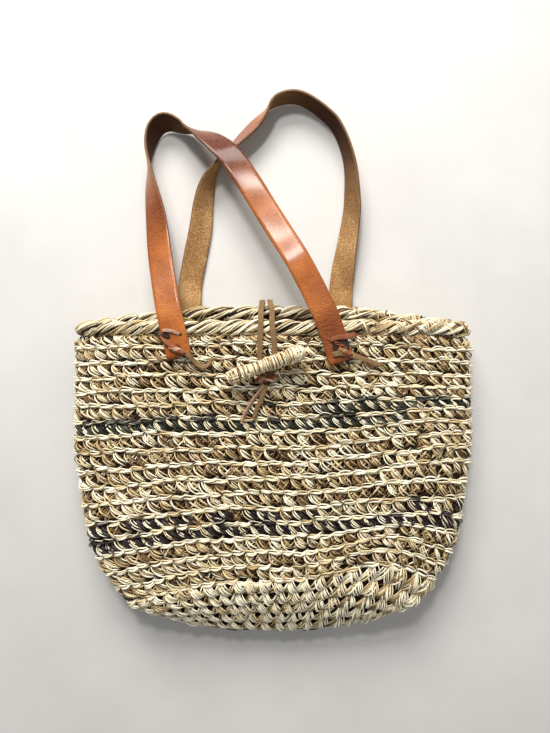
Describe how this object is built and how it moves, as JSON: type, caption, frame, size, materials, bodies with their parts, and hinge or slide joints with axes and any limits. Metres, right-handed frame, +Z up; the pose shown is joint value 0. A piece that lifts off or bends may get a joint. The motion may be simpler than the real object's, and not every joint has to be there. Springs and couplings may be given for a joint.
{
  "type": "crocheted beach tote",
  "caption": "Flat-lying crocheted straw beach tote with dark stripes, leather strap handles laced on with suede thongs, and a wound toggle held by a lace loop.",
  "frame": {"origin": "on the surface that the bag lies on, under the middle of the whole outline, handles included", "axes": "+X to the bag's right, +Y towards the mouth and handles, +Z up out of the front wall; the bag lies on its back as it does when laid down flat"},
  "size_m": [0.378, 0.516, 0.068],
  "materials": {
    "sisal_natural": "coarse",
    "sisal_brown": "coarse",
    "sisal_charcoal": "coarse",
    "leather_tan": "satin",
    "lace_suede": "matte",
    "toggle_wood": "matte",
    "raffia_winding": "satin"
  },
  "bodies": {
    "bag": {"base_rounds": "sisal_natural", "wall_lower": "sisal_natural", "wall_middle": "sisal_natural", "wall_upper": "sisal_natural", "rim_rope": "sisal_natural", "stripe_brown": "sisal_brown", "stripe_charcoal": "sisal_charcoal", "front_strap_end_left": "leather_tan", "front_strap_end_right": "leather_tan", "back_strap_end_left": "leather_tan", "back_strap_end_right": "leather_tan", "lacing_front_left": "lace_suede", "lacing_front_right": "lace_suede", "lacing_back_left": "lace_suede", "lacing_back_right": "lace_suede", "lacing_tail_left": "lace_suede", "lacing_tail_right": "lace_suede", "closure_loop": "lace_suede", "closure_knot": "lace_suede", "closure_tail_left": "lace_suede", "closure_tail_right": "lace_suede"},
    "front_handle": {"front_strap": "leather_tan"},
    "back_handle": {"back_strap": "leather_tan"},
    "toggle": {"toggle_core": "toggle_wood", "toggle_winding": "raffia_winding", "toggle_stem": "raffia_winding"}
  },
  "joints": [
    {"name": "front_handle_swing", "type": "hinge", "parent": "bag", "child": "front_handle", "pos_m": [0, 0.024, 0.0525], "axis": [1, 0, 0], "range_deg": [0, 150]},
    {"name": "back_handle_swing", "type": "hinge", "parent": "bag", "child": "back_handle", "pos_m": [0, 0.056, 0.006], "axis": [1, 0, 0], "range_deg": [0, 82.5]},
    {"name": "toggle_swivel", "type": "hinge", "parent": "bag", "child": "toggle", "pos_m": [-0.006, -0.006, 0.0607], "axis": [0, 0, 1], "range_deg": [-90, 70]}
  ],
  "couplings": [
    {"joint": "back_handle_swing", "follows": "front_handle_swing", "ratio": 0.55}
  ]
}
